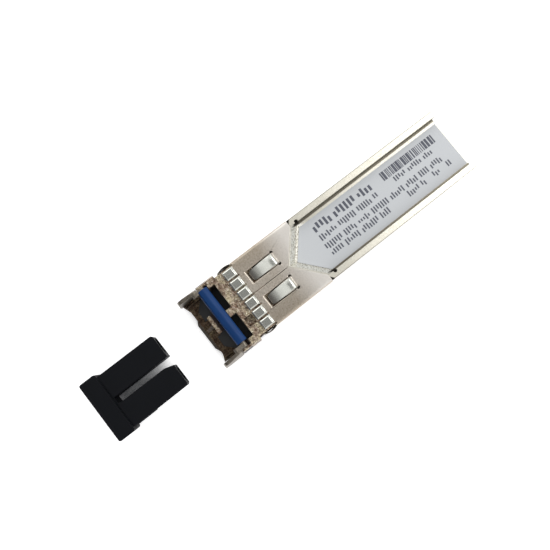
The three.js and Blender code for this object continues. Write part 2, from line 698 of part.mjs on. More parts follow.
function bailFrame() {
  const arm = (side) => leaningPlate([
    [BAIL_PIVOT_Y, BAIL_PIVOT_Z, EYE_RADIUS, ARM_INNER + 0.05, ARM_OUTER],
    [BAIL_PIVOT_Y - 0.7, 6.9, 0.9, ARM_INNER, ELBOW_OUTER],
    [WALL_FRONT - 0.6, 4.5, 0.5, ARM_INNER + 0.05, ARM_OUTER - 0.08],
    [WALL_FRONT - 0.7, BAR_Z - 0.05, 0.6, ARM_INNER - 0.1, ARM_TIP_OUTER],
  ], side);
  const tab = (x0, x1) => plateOfDiscs([
    [BAR_Y, BAR_Z, ROD_RADIUS],
    [WALL_FRONT - 0.75, BAR_Z, ROD_RADIUS],
  ], x0, x1);
  const tabInner = PORT_HALF_SPAN + 0.02;
  const frame = join([
    arm(1), arm(-1),
    tab(tabInner, ARM_INNER + SKIN_OVERLAP), tab(-ARM_INNER - SKIN_OVERLAP, -tabInner),
    barX(BAR_Y, BAR_Z, ROD_RADIUS, -tabInner - 0.1, tabInner + 0.1),
  ]);
  return cut(frame, [barX(BAIL_PIVOT_Y, BAIL_PIVOT_Z, PIN_RADIUS + PIN_CLEARANCE, -FAR, FAR)]);
}

function bailGrip() {
  const section = [
    [BAR_Y - 1.0, BAR_Z - 0.6], [BAR_Y - 0.75, BAR_Z - 0.85], [BAR_Y + 0.75, BAR_Z - 0.85],
    [BAR_Y + 1.0, BAR_Z - 0.6], [BAR_Y + 1.0, BAR_Z + 0.3], [BAR_Y + 0.85, BAR_Z + 0.62],
    [BAR_Y + 0.2, BAR_Z + 0.95], [BAR_Y - 0.1, BAR_Z + 0.95], [BAR_Y - 0.8, BAR_Z + 0.6], [BAR_Y - 1.0, BAR_Z + 0.25],
  ];
  const clearance = 0.04;
  const rodHole = barX(BAR_Y, BAR_Z, ROD_RADIUS + clearance, -FAR, FAR);
  const tabHole = plateOfDiscs([
    [BAR_Y, BAR_Z, ROD_RADIUS + clearance],
    [WALL_FRONT - 0.75, BAR_Z, ROD_RADIUS + clearance],
  ], -ARM_INNER, -PORT_HALF_SPAN);
  return cut(prismX(section, GRIP_LEFT, GRIP_RIGHT), [rodHole, tabHole]);
}

function bailPin(side) {
  const inner = PORT_HALF_SPAN + 0.05;
  const outer = ARM_OUTER;
  return barX(BAIL_PIVOT_Y, BAIL_PIVOT_Z, PIN_RADIUS, side > 0 ? inner : -outer, side > 0 ? outer : -inner);
}

// ---- latch --------------------------------------------------------------------------------

function latchLever() {
  const beam = middleBox(LEVER_HALF, LEVER_PIVOT_Y - 1.4, LEVER_REAR, LEVER_BOTTOM, LEVER_TOP);
  const boss = prismX([
    [BOSS_SHOULDER, LEVER_BOTTOM + 0.1], [BOSS_SHOULDER, -BOSS_DROP],
    [BOSS_SHOULDER + 0.35, -BOSS_DROP], [BOSS_SHOULDER + BOSS_LENGTH, LEVER_BOTTOM + 0.1],
  ], -LEVER_HALF, LEVER_HALF);
  const tabPlan = [
    [LEVER_TAB_LEFT, LEVER_PIVOT_Y - 1.2], [LEVER_TAB_LEFT, NOSE_FRONT], [LEVER_TIP_LEFT, LEVER_FRONT],
    [LEVER_TIP_RIGHT, LEVER_FRONT], [LEVER_TAB_RIGHT, NOSE_FRONT], [LEVER_TAB_RIGHT, LEVER_PIVOT_Y - 1.2],
  ];
  const tab = prismZ(tabPlan, LEVER_BOTTOM + 0.1, LEVER_TOP + 0.1);
  const eye = barX(LEVER_PIVOT_Y, LEVER_PIVOT_Z, 0.52, -LEVER_HALF, LEVER_HALF, 20);
  const hole = barX(LEVER_PIVOT_Y, LEVER_PIVOT_Z, LEVER_PIN_RADIUS + 0.04, -FAR, FAR, 16);
  return cut(join([beam, boss, tab, eye]), [hole]);
}

function leverPin() {
  return barX(LEVER_PIVOT_Y, LEVER_PIVOT_Z, LEVER_PIN_RADIUS, -2.5, 2.5, 16);
}

function latchSpring() {
  const thickness = 0.1;
  const roof = SLOT_ROOF - thickness / 2;
  const line = [
    [LEVER_PIVOT_Y + 0.7, roof], [LEVER_PIVOT_Y + 1.7, roof], [LEVER_PIVOT_Y + 2.5, roof - 0.07],
    [LEVER_PIVOT_Y + 3.0, roof - 0.09], [LEVER_PIVOT_Y + 3.4, roof - 0.06],
  ];
  return prismX(stripOutline(line, thickness), -0.9, 0.9);
}

// ---- optics -------------------------------------------------------------------------------

function opticsBarrel(x) {
  const body = join([
    barY(x, AXIS_Z, BARREL_RADIUS, BARREL_FRONT, BARREL_REAR),
    barY(x, AXIS_Z, FLANGE_RADIUS, FLANGE_FRONT, BARREL_REAR),
  ]);
  return cut(body, [barY(x, AXIS_Z, BARREL_BORE, BARREL_FRONT - 1, BORE_END)]);
}

function opticsCan(x) {
  const step = BARREL_REAR + 1.8;
  return join([
    barY(x, AXIS_Z, CAN_RADIUS, BARREL_REAR, step),
    barY(x, AXIS_Z, HEADER_RADIUS, step - 0.1, CAN_REAR),
  ]);
}

function splitSleeve(x) {
  const front = BARREL_FRONT + 0.35;
  const rear = BORE_END - 0.1;
  const tube = barY(x, AXIS_Z, SLEEVE_RADIUS, front, rear, 24);
  const bore = barY(x, AXIS_Z, SLEEVE_BORE, front - 1, rear + 1, 24);
  const slit = box(x - 0.08, x + 0.08, front - 1, rear + 1, AXIS_Z, AXIS_Z + 2);
  return cut(tube, [bore, slit]);
}

function fibreStub(x) {
  return barY(x, AXIS_Z, STUB_RADIUS, BORE_END - 2.2, BORE_END, 20);
}

function flexCircuit(x) {
  const thickness = 0.12;
  const near = CAN_REAR + thickness;
  const level = BOARD_TOP + thickness / 2;
  const line = [
    [near, AXIS_Z + 1.5], [near, AXIS_Z + 0.4], [near + 0.5, level + 0.5],
    [near + 1.6, level + 0.1], [BOARD_FRONT + 0.8, level + 0.01], [BOARD_FRONT + 2.2, level + 0.01],
  ];
  return prismX(stripOutline(line, thickness, 18), x - 1.6, x + 1.6);
}

function opticsClamp() {
  const front = BARREL_REAR + 0.1;
  const rear = front + 1.3;
  const saddle = (x) => barY(x, AXIS_Z, CAN_RADIUS + 0.02, front - 1, rear + 1);
  const bar = middleBox(BODY_HALF - WALL - 0.15, front, rear, AXIS_Z + 0.4, FRONT_ROOF - 0.05);
  return cut(bar, [saddle(-PORT_X), saddle(PORT_X)]);
}

// ---- board --------------------------------------------------------------------------------

function circuitBoard() {
  const corner = 0.5;
  return prismZ([
    [-BOARD_HALF, BOARD_FRONT], [BOARD_HALF, BOARD_FRONT], [BOARD_HALF, BOARD_STEP], [EDGE_HALF, BOARD_STEP + 0.3],
    [EDGE_HALF, BOARD_REAR - corner], [EDGE_HALF - corner, BOARD_REAR], [-EDGE_HALF + corner, BOARD_REAR],
    [-EDGE_HALF, BOARD_REAR - corner], [-EDGE_HALF, BOARD_STEP + 0.3], [-BOARD_HALF, BOARD_STEP],
  ], BOARD_BOTTOM, BOARD_TOP);
}

function edgeContact(index, bottomZ) {
  const x = (index - (CONTACTS - 1) / 2) * CONTACT_PITCH;
  const rear = BOARD_REAR - 0.6;
  const half = CONTACT_WIDTH / 2;
  return box(x - half, x + half, rear - CONTACT_LENGTH, rear, bottomZ, bottomZ + CONTACT_THICKNESS);
}

function chip(x, y, width, length, height) {
  const outline = chamferedRect(x - width / 2, x + width / 2, y - length / 2, y + length / 2, 0.12);
  return prismZ(outline, BOARD_TOP, BOARD_TOP + height);
}

// ---- dust plug ----------------------------------------------------------------------------

function dustPlug() {
  const seat = PLUG_SEAT;
  const tip = seat + PRONG_LENGTH;
  const low = AXIS_Z - PRONG_HALF_HEIGHT;
  const high = AXIS_Z + PRONG_HALF_HEIGHT;
  const flange = prismZ(
    roundedRect(-FLANGE_HALF, FLANGE_HALF, seat - PLUG_FLANGE, seat, 0.35, 3),
    FLANGE_LOW,
    FLANGE_HIGH,
  );
  const fillet = prismZ([[-FLANGE_HALF + 0.1, seat - 0.3], [FLANGE_HALF - 0.1, seat - 0.3],
    [PRONG_OUTER, seat + 0.03], [-PRONG_OUTER, seat + 0.03]], low, high);
  const ribOuter = PRONG_OUTER + 0.12;
  const ribs = middleBox(ribOuter, seat - 0.5, seat + 4.2, low + 0.2, high - 1.2);
  const prongs = prismZ([
    [-PRONG_OUTER, seat - 0.5], [PRONG_OUTER, seat - 0.5], [PRONG_OUTER, tip - 0.3], [PRONG_OUTER - 0.3, tip],
    [-PRONG_OUTER + 0.3, tip], [-PRONG_OUTER, tip - 0.3],
  ], low, high);
  const slit = prismZ([
    [SLIT_LEFT, seat + 0.2], [SLIT_RIGHT, seat + 0.2], [SLIT_RIGHT, tip - FLARE_LENGTH],
    [SLIT_RIGHT + SLIT_DRAFT, tip - FLARE_LENGTH / 2], [SLIT_MOUTH, tip + 0.1], [SLIT_LEFT, tip + 0.1],
  ], low - 1, high + 1);
  const draft = prismY([[0, low], [SLIT_RIGHT, low], [SLIT_RIGHT + SLIT_DRAFT, high + 0.1], [0, high + 0.1]],
    seat + 0.5, tip + 0.1);
  const bore = (x) => barY(x, AXIS_Z, BARREL_RADIUS + 0.22, tip - 5.0, tip + 1);
  return cut(join([flange, fillet, ribs, prongs]), [slit, draft, bore(-PORT_X), bore(PORT_X)]);
}

// ---- assembly -----------------------------------------------------------------------------

function group(name, meshes) {
  const set = new THREE.Group();
  set.name = name;
  set.add(...meshes);
  return set;
}

function shellGroup() {
  return group('shell', [
    piece('lower_housing', housing(), castMetal()),
    piece('top_cover', cover(), coverMetal()),
    piece('emi_collar', collar(), collarSteel()),
    piece('label_plate', label(), labelFilm()),
    piece('port_liner', liner(), blackPlastic()),
  ]);
}

function bailGroup() {
  return group('bail_parts', [
    piece('bail_frame', bailFrame(), bailSteel()),
    piece('bail_grip', bailGrip(), bluePlastic()),
    piece('bail_pin_left', bailPin(-1), turnedSteel()),
    piece('bail_pin_right', bailPin(1), turnedSteel()),
  ]);
}

function latchGroup() {
  return group('latch_parts', [
    piece('latch_lever', latchLever(), bailSteel()),
    piece('latch_pin', leverPin(), turnedSteel()),
    piece('latch_spring', latchSpring(), springSteel()),
  ]);
}

function opticsGroup() {
  const meshes = [piece('optics_clamp', opticsClamp(), springSteel())];
  for (const [tag, x] of [['tx', -PORT_X], ['rx', PORT_X]]) {
    meshes.push(
      piece(`${tag}_barrel`, opticsBarrel(x), turnedSteel()),
      piece(`${tag}_can`, opticsCan(x), goldPlating()),
      piece(`${tag}_sleeve`, splitSleeve(x), whiteCeramic()),
      piece(`${tag}_fibre_stub`, fibreStub(x), whiteCeramic()),
      piece(`${tag}_flex`, flexCircuit(x), amberFilm()),
    );
  }
  return group('optics', meshes);
}

function boardGroup() {
  const meshes = [
    piece('circuit_board', circuitBoard(), boardLaminate()),
    piece('driver_chip', chip(-2.4, -1.2, 3.0, 3.0, 0.8), chipResin()),
    piece('amplifier_chip', chip(2.4, -1.2, 3.0, 3.0, 0.8), chipResin()),
    piece('controller_chip', chip(0, 6.2, 4.0, 4.0, 0.9), chipResin()),
    piece('thermal_pad', box(-4.2, 4.2, -2.9, 0.5, BOARD_TOP + 0.8, ROOF), padSilicone()),
  ];
  for (let i = 0; i < 4; i += 1) {
    meshes.push(piece(`capacitor_${i + 1}`, chip(-3.6 + i * 2.4, 11.0, 0.8, 1.6, 0.7), capacitorBody()));
  }
  for (let i = 0; i < CONTACTS; i += 1) {
    meshes.push(piece(`contact_top_${i + 1}`, edgeContact(i, BOARD_TOP), goldPlating()));
    meshes.push(piece(`contact_bottom_${i + 1}`, edgeContact(i, BOARD_BOTTOM - CONTACT_THICKNESS), goldPlating()));
  }
  return group('board', meshes);
}

const part = new THREE.Group();
part.name = 'optical_transceiver';
part.add(shellGroup(), bailGroup(), latchGroup(), opticsGroup(), boardGroup());
part.add(group('plug', [piece('dust_plug', dustPlug(), plugRubber())]));

export default part;
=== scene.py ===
"""Looks for a pluggable fibre-optic transceiver module and its dust plug.

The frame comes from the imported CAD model. Lengths are written in millimetres and turned to metres by MM.
"""

import json
import math
import random

import bmesh
import bpy
from mathutils.bvhtree import BVHTree
from mathutils import Matrix, Vector


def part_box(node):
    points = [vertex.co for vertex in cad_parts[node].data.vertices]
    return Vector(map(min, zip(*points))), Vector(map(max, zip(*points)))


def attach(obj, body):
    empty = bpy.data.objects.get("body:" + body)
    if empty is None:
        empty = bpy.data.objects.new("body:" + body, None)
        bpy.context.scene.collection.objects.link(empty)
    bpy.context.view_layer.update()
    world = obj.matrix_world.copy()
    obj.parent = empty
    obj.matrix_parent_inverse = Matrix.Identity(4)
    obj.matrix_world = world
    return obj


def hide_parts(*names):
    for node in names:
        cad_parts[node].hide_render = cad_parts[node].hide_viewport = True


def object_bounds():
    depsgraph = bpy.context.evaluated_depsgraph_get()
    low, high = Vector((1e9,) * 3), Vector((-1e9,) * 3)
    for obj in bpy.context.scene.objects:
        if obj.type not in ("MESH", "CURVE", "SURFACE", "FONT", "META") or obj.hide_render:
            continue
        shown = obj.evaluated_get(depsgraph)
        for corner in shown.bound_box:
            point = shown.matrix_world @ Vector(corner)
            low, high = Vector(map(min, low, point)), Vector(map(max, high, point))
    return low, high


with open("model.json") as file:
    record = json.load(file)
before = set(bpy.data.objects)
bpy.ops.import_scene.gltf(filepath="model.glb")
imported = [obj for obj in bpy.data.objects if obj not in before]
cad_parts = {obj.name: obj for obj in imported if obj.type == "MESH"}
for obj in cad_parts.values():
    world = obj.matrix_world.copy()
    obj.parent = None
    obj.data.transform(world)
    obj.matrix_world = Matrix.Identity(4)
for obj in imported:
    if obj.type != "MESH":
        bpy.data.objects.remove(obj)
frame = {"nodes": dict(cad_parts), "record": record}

LOW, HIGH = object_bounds()
MM = 0.001

# ---- camera -------------------------------------------------------------------------------

CAMERA_PLACE = (6.33, -27.0, 104.16)
CAMERA_RIGHT = (0.61805, 0.78349, 0.06440)
CAMERA_LOOK = (-0.06849, 0.13527, -0.98844)
SENSOR = 36.0
LENS = 551.0 / 550.0 * SENSOR


def add_camera():
    data = bpy.data.cameras.new("view_camera")
    data.sensor_width = SENSOR
    data.lens = LENS
    data.clip_start = 0.001
    data.clip_end = 10.0
    camera = bpy.data.objects.new("view_camera", data)
    right = Vector(CAMERA_RIGHT).normalized()
    look = Vector(CAMERA_LOOK).normalized()
    down = look.cross(right).normalized()
    right = down.cross(look).normalized()
    turn = Matrix((right, -down, -look)).transposed().to_4x4()
    camera.matrix_world = Matrix.Translation(Vector(CAMERA_PLACE) * MM) @ turn
    bpy.context.scene.collection.objects.link(camera)
    bpy.context.scene.camera = camera


# ---- node helpers -------------------------------------------------------------------------


class Look:
    """A material built from nodes, with its pattern in millimetres of the part's own frame."""

    def __init__(self, name, metallic=0.0, roughness=0.5, specular=None):
        self.material = bpy.data.materials.new(name)
        self.material.use_nodes = True
        self.tree = self.material.node_tree
        self.tree.nodes.clear()
        self.shader = self.tree.nodes.new("ShaderNodeBsdfPrincipled")
        output = self.tree.nodes.new("ShaderNodeOutputMaterial")
        self.tree.links.new(self.shader.outputs["BSDF"], output.inputs["Surface"])
        self.shader.inputs["Metallic"].default_value = metallic
        self.shader.inputs["Roughness"].default_value = roughness
        if specular is not None:
            self.shader.inputs["Specular IOR Level"].default_value = specular
        place = self.tree.nodes.new("ShaderNodeTexCoord")
        self.mm = self.vector("SCALE", place.outputs["Object"], scale=1.0 / MM)

    def link(self, value, socket):
        if isinstance(value, bpy.types.NodeSocket):
            self.tree.links.new(value, socket)
        else:
            socket.default_value = value

    def vector(self, operation, a, b=None, scale=None):
        node = self.tree.nodes.new("ShaderNodeVectorMath")
        node.operation = operation
        self.link(a, node.inputs[0])
        if b is not None:
            self.link(b, node.inputs[1])
        if scale is not None:
            node.inputs["Scale"].default_value = scale
        return node.outputs["Vector"]

    def math(self, operation, a, b=0.0):
        node = self.tree.nodes.new("ShaderNodeMath")
        node.operation = operation
        self.link(a, node.inputs[0])
        self.link(b, node.inputs[1])
        return node.outputs[0]

    def stretched(self, factors):
        return self.vector("MULTIPLY", self.mm, factors)

    def noise(self, scale, detail=3.0, where=None, roughness=0.5):
        node = self.tree.nodes.new("ShaderNodeTexNoise")
        self.link(self.mm if where is None else where, node.inputs["Vector"])
        node.inputs["Scale"].default_value = scale
        node.inputs["Detail"].default_value = detail
        node.inputs["Roughness"].default_value = roughness
        return node.outputs["Fac"]

    def grains(self, scale):
        """A random value for each cast grain."""
        node = self.tree.nodes.new("ShaderNodeTexVoronoi")
        self.link(self.mm, node.inputs["Vector"])
        node.inputs["Scale"].default_value = scale
        split = self.tree.nodes.new("ShaderNodeSeparateColor")
        self.tree.links.new(node.outputs["Color"], split.inputs["Color"])
        return split.outputs["Red"]

    def between(self, value, low, high, out_low=0.0, out_high=1.0):
        node = self.tree.nodes.new("ShaderNodeMapRange")
        self.link(value, node.inputs["Value"])
        node.inputs["From Min"].default_value = low
        node.inputs["From Max"].default_value = high
        node.inputs["To Min"].default_value = out_low
        node.inputs["To Max"].default_value = out_high
        return node.outputs["Result"]

    def ramp(self, value, stops):
        node = self.tree.nodes.new("ShaderNodeValToRGB")
        self.link(value, node.inputs["Fac"])
        ramp = node.color_ramp
        while len(ramp.elements) < len(stops):
            ramp.elements.new(0.5)
        for element, (place, colour) in zip(ramp.elements, stops):
            element.position = place
            element.color = rgba(colour)
        return node.outputs["Color"]

    def mix(self, share, a, b, blend="MIX"):
        node = self.tree.nodes.new("ShaderNodeMix")
        node.data_type = "RGBA"
        node.blend_type = blend
        self.link(share, node.inputs["Factor"])
        self.link(rgba(a) if isinstance(a, str) else a, node.inputs["A"])
        self.link(rgba(b) if isinstance(b, str) else b, node.inputs["B"])
        colours = [s for s in node.outputs if s.type == "RGBA"]
        return colours[0]

    def axes(self):
        node = self.tree.nodes.new("ShaderNodeSeparateXYZ")
        self.tree.links.new(self.mm, node.inputs["Vector"])
        return node.outputs["X"], node.outputs["Y"], node.outputs["Z"]

    def inside(self, value, low, high, soft=0.05):
        """1 where the value lies from low to high, and 0 outside."""
        rise = self.between(value, low - soft, low + soft)
        fall = self.between(value, high - soft, high + soft, 1.0, 0.0)
        return self.math("MULTIPLY", rise, fall)

    def colour(self, value):
        self.link(rgba(value) if isinstance(value, str) else value, self.shader.inputs["Base Color"])

    def rough(self, value):
        self.link(value, self.shader.inputs["Roughness"])

    def bump(self, height, strength, depth_mm):
        node = self.tree.nodes.new("ShaderNodeBump")
        node.inputs["Strength"].default_value = strength
        node.inputs["Distance"].default_value = depth_mm * MM
        self.link(height, node.inputs["Height"])
        if self.shader.inputs["Normal"].is_linked:
            self.tree.links.new(self.shader.inputs["Normal"].links[0].from_socket, node.inputs["Normal"])
        self.tree.links.new(node.outputs["Normal"], self.shader.inputs["Normal"])

    def mix_value(self, share, a, b):
        """a where the share is 0, b where it is 1."""
        kept = self.math("MULTIPLY", self.math("SUBTRACT", 1.0, share), a)
        return self.math("ADD", kept, self.math("MULTIPLY", share, b))


def linear(channel):
    return channel / 12.92 if channel <= 0.04045 else ((channel + 0.055) / 1.055) ** 2.4


def rgba(colour):
    digits = colour.lstrip("#")
    return tuple(linear(int(digits[i:i + 2], 16) / 255.0) for i in (0, 2, 4)) + (1.0,)


# ---- materials ----------------------------------------------------------------------------

# Places on the part that the looks depend on, in millimetres. X is taken to both sides.
BAR_Y = (-27.25, -24.5)
BAR_Z = (6.4, 7.5)
NOSE_DEPTH_Z = (1.2, 7.9)
NOSE_END_Y = (-21.0, -18.0)
V_SLOPE = 0.868
V_POINT = -11.45
V_BLUR = 0.12
RECESS_CORNER_X = (5.08, 5.6)
RECESS_CORNER_Z = (7.6, 8.2)
PIT_X = (5.2, 6.1)
PIT_Y = (-5.5, -4.3)
PIT_Z = (8.2, 8.4)
RAMP_Y = (-3.2, -4.2)
RAMP_Z = (8.15, 8.35)
RAIL_EDGE_SHADE_X = (6.5, 6.62)
FINGERS_Y = (-24.0, -19.0)
FINGER_FLANK_X = (6.72, 6.8)
TONGUES_X = (1.6, 3.75)
TONGUES_Y = (-17.7, -12.1)
TONGUE_TIP_Y = (-17.3, -15.4)
COLLAR_TOP_Z = (8.3, 8.5)
COLLAR_V_Y = (-13.5, -8.5)
COLLAR_SIDE_SHADE_X = (1.5, 6.0)
LOW_STEEL_Z = (0.9, 2.0)

# The middle part of a noise's range, which carries nearly all of its values.
NOISE_SPAN = (0.3, 0.7)


def cast_metal():
    look = Look("cast_metal", metallic=0.85)
    grain = look.grains(4.6)
    fine = look.noise(9.0, 4.0)
    broad = look.noise(0.9, 2.0)
    tint = look.ramp(grain, [
        (0.0, "#a2978f"), (0.2, "#c6bbb0"), (0.4, "#dcd4c6"), (0.58, "#d9c9bf"),
        (0.75, "#ebe5d5"), (0.88, "#f8f4ea"), (1.0, "#fffefa"),
    ])
    shade = look.ramp(fine, [(0.38, "#776e66"), (0.5, "#dad4cc"), (0.6, "#ffffff")])
    speck = look.ramp(look.noise(2.7, 2.0, roughness=0.6), [
        (0.36, "#6e655d"), (0.46, "#cfc8c0"), (0.54, "#f4f1ea"), (0.62, "#ffffff"),
    ])
    hue = look.ramp(broad, [(0.32, "#b5a399"), (0.45, "#d6cbc2"), (0.55, "#f0ece2"), (0.66, "#ffffec")])
    x, y, z = look.axes()
    # Painted shadow: the nose turns dark red-brown under the blue bar, where the bar shades it.
    bar_shadow = look.math("MULTIPLY", look.inside(y, *BAR_Y, 0.1), look.inside(z, *BAR_Z))
    # Painted shade: the nose darkens low down in its ports and cheeks, and keeps its full colour on its top
    # and behind it.
    behind_nose = look.between(y, *NOSE_END_Y, 0.0, 0.85)
    height = look.math("MAXIMUM", look.between(z, *NOSE_DEPTH_Z), behind_nose)
    depth = look.ramp(height, [(0.0, "#8f857b"), (0.55, "#8a8178"), (0.93, "#ffffff")])
    base = look.mix(0.75, tint, shade, "MULTIPLY")
    base = look.mix(1.0, base, hue, "MULTIPLY")
    base = look.mix(0.8, base, speck, "MULTIPLY")
    base = look.mix(1.0, base, depth, "MULTIPLY")
    look.colour(look.mix(bar_shadow, base, "#2e2422"))
    look.rough(look.between(broad, *NOISE_SPAN, 0.34, 0.46))
    look.bump(look.math("ADD", look.math("MULTIPLY", grain, 0.7), fine), 1.0, 0.06)
    return look.material


def cover_metal():
    look = Look("cover_metal", metallic=0.8)
    fine = look.noise(9.0, 3.0)
    broad = look.noise(0.35, 2.0)
    x, y, z = look.axes()
    side = look.math("ABSOLUTE", x)
    # Painted shade: the cover under the collar, seen only through the collar's windows, is near black.
    from_edge = look.math("SUBTRACT", y, look.math("MULTIPLY", side, V_SLOPE))
    under_collar = look.between(from_edge, V_POINT - V_BLUR, V_POINT, 1.0, 0.0)
    # Painted shade: a dark line along the foot of the rails, in the corners of the label recess.
    low_down = look.between(z, *RECESS_CORNER_Z, 1.0, 0.0)
    corner = look.math("MULTIPLY", look.inside(side, *RECESS_CORNER_X, 0.06), low_down)
    # Painted shade: the pits at the rail corners are darkened to near black.
    pit_shade = look.math("MULTIPLY", look.inside(y, *PIT_Y), look.inside(side, *PIT_X))
    pit_shade = look.math("MULTIPLY", pit_shade, look.between(z, *PIT_Z, 1.0, 0.0))
    painted_shade = look.math("MAXIMUM", under_collar, pit_shade)
    base = look.mix(broad, "#c2beb1", "#cdcabf")
    cast = look.noise(3.4, 3.0, roughness=0.6)
    speckle = look.ramp(cast, [(0.36, "#8f8b7f"), (0.46, "#e6e4da"), (0.53, "#ffffff")])
    ramp_part = look.math("MULTIPLY", look.between(z, *RAMP_Z, 1.0, 0.0), look.between(y, *RAMP_Y))
    base = look.mix(ramp_part, base, "#f4f2ea")
    base = look.mix(look.mix_value(ramp_part, 0.15, 0.8), base, speckle, "MULTIPLY")
    base = look.mix(corner, base, "#6b665a")
    # Painted shade: the outer edges of the rails are greyer, where their rounding turns away from the
    # light.
    base = look.mix(look.between(side, *RAIL_EDGE_SHADE_X), base, "#8f8b80")
    look.colour(look.mix(painted_shade, base, "#2b2822"))
    look.rough(look.between(fine, *NOISE_SPAN, 0.3, 0.42))
    look.bump(fine, 0.5, 0.03)
    return look.material


def collar_steel():
    look = Look("collar_steel", metallic=0.9)
    fine = look.noise(3.6, 4.0, roughness=0.65)
    broad = look.noise(0.3, 2.0)
    x, y, z = look.axes()
    side = look.math("ABSOLUTE", x)
    fingers = look.inside(y, *FINGERS_Y)
    tongues = look.math("MULTIPLY", look.inside(y, *TONGUES_Y), look.inside(side, *TONGUES_X))
    bright = look.math("MAXIMUM", fingers, tongues)
    # Painted shading: the collar is lighter along its middle and darker towards its sides.
    base = look.mix(look.between(side, *COLLAR_SIDE_SHADE_X), "#cdc5ba", "#b5ab9d")
    base = look.mix(look.math("MULTIPLY", broad, 0.3), base, "#a59a8c")
    sparkle = look.ramp(fine, [(0.32, "#a9a299"), (0.5, "#e9e5de"), (0.66, "#ffffff")])
    base = look.mix(0.6, base, sparkle, "MULTIPLY")
    # Painted sheen: the flat top of the collar grows paler towards the V at its rear.
    flat_top = look.between(z, *COLLAR_TOP_Z)
    top_sheen = look.math("MULTIPLY", look.between(y, *COLLAR_V_Y, 0.0, 0.8), flat_top)
    base = look.mix(top_sheen, base, "#e6e2dc")
    base = look.mix(bright, base, "#d6d7cf")
    # Painted shade: the tongues darken towards their front tips, where they dip into the shade.
    tip_shade = look.math("MULTIPLY", tongues, look.between(y, *TONGUE_TIP_Y, 0.75, 0.0))
    base = look.mix(tip_shade, base, "#5b4d43")
    # Painted shade: the fingers on the collar's sides are darkened.
    flank_shade = look.math("MULTIPLY", fingers, look.between(side, *FINGER_FLANK_X))
    look.colour(look.mix(flank_shade, base, "#68635b"))
    shine = look.mix_value(bright, look.between(fine, *NOISE_SPAN, 0.3, 0.4), 0.16)
    look.rough(look.mix_value(tongues, shine, 0.23))
    grain = look.math("MULTIPLY", fine, look.between(bright, 0.0, 1.0, 1.0, 0.1))
    look.bump(grain, 0.3, 0.015)
    return look.material


def label_film():
    look = Look("label_film", roughness=0.45)
    fine = look.noise(6.0, 2.0)
    look.colour(look.mix(fine, "#b6b9bc", "#c0c3c6"))
    look.rough(look.between(fine, *NOISE_SPAN, 0.4, 0.5))
    look.bump(fine, 0.15, 0.01)
    return look.material


def label_ink():
    look = Look("label_ink")
    fine = look.noise(12.0, 3.0)
    look.colour(look.mix(fine, "#3d404b", "#5a5d68"))
    look.rough(look.between(fine, *NOISE_SPAN, 0.5, 0.65))
    return look.material


def dull_steel(name, dark, light, roughness):
    look = Look(name, metallic=0.85)
    fine = look.noise(2.6, 4.0, roughness=0.65)
    broad = look.noise(0.8, 2.0)
    x, y, z = look.axes()
    worn = look.mix(look.between(fine, *NOISE_SPAN), dark, light)
    # Painted shade: the steel darkens towards the bottom, below LOW_STEEL_Z.
    look.colour(look.mix(look.between(z, *LOW_STEEL_Z, 0.7, 0.0), worn, "#241f1b"))
    look.rough(look.between(broad, *NOISE_SPAN, roughness - 0.06, roughness + 0.08))
    look.bump(fine, 0.4, 0.02)
    return look.material


def turned_steel():
    look = Look("turned_steel", metallic=1.0)
    rings = look.noise(14.0, 2.0, look.stretched((1.0, 0.15, 0.15)))
    look.colour(look.mix(rings, "#a9a6a0", "#cfccc5"))
    look.rough(look.between(rings, *NOISE_SPAN, 0.22, 0.34))
    look.bump(rings, 0.2, 0.01)
    return look.material


def moulded(name, dark, light, roughness, grain=9.0, depth=0.015, specular=0.5):
    look = Look(name, specular=specular)
    fine = look.noise(grain, 3.0)
    broad = look.noise(0.4, 2.0)
    look.colour(look.mix(broad, dark, light))
    look.rough(look.between(fine, *NOISE_SPAN, roughness - 0.05, roughness + 0.07))
    look.bump(fine, 0.3, depth)
    return look.material


def gold_plating():
    look = Look("gold_plating", metallic=1.0)
    fine = look.noise(12.0, 2.0, look.stretched((1.0, 0.2, 1.0)))
    look.colour(look.mix(fine, "#d0a548", "#e6c36e"))
    look.rough(look.between(fine, *NOISE_SPAN, 0.2, 0.32))
    look.bump(fine, 0.1, 0.005)
    return look.material


def board_laminate():
    look = Look("board_laminate", roughness=0.35)
    weave = look.noise(5.0, 2.0, look.stretched((1.0, 1.0, 0.1)))
    tracks = look.noise(1.4, 0.0, look.stretched((4.0, 0.4, 0.1)))
    ground = look.mix(weave, "#1d4a2c", "#25583a")
    look.colour(look.mix(look.between(tracks, 0.52, 0.56), ground, "#3a7a4e"))
    look.rough(look.between(weave, *NOISE_SPAN, 0.28, 0.4))
    look.bump(look.between(tracks, 0.5, 0.58), 0.4, 0.02)
    return look.material


# ---- shape helpers ------------------------------------------------------------------------


def new_object(name, mesh):
    obj = bpy.data.objects.new(name, mesh)
    bpy.context.scene.collection.objects.link(obj)
    return obj


def mesh_from(name, bm):
    mesh = bpy.data.meshes.new(name)
    bm.to_mesh(mesh)
    bm.free()
    return mesh


# A rounding of edges: turns sharper than this are rounded, and shading breaks above the second.
SHARP_TURN = math.radians(28.0)
SHADING_BREAK = math.radians(46.0)
ROUNDING_STEPS = 2
FLAT_TURN = math.radians(0.6)
WELD = 0.0005 * MM
STRAY = 0.6

# Long rails shade evenly only when their faces stay whole.
WHOLE_FACES = {"top_cover"}


def pull_to_surface(bm, node, width):
    """Puts vertices that a rounded corner has thrown too far back onto the CAD surface and into its box."""
    mesh = frame["nodes"][node].data
    low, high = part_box(node)
    corners = [vertex.co for vertex in mesh.vertices]
    tree = BVHTree.FromPolygons(corners, [tuple(face.vertices) for face in mesh.polygons])
    for vertex in bm.verts:
        place, _, _, distance = tree.find_nearest(vertex.co)
        if distance > STRAY * width:
            vertex.co = place
        for axis in range(3):
            vertex.co[axis] = min(max(vertex.co[axis], low[axis]), high[axis])


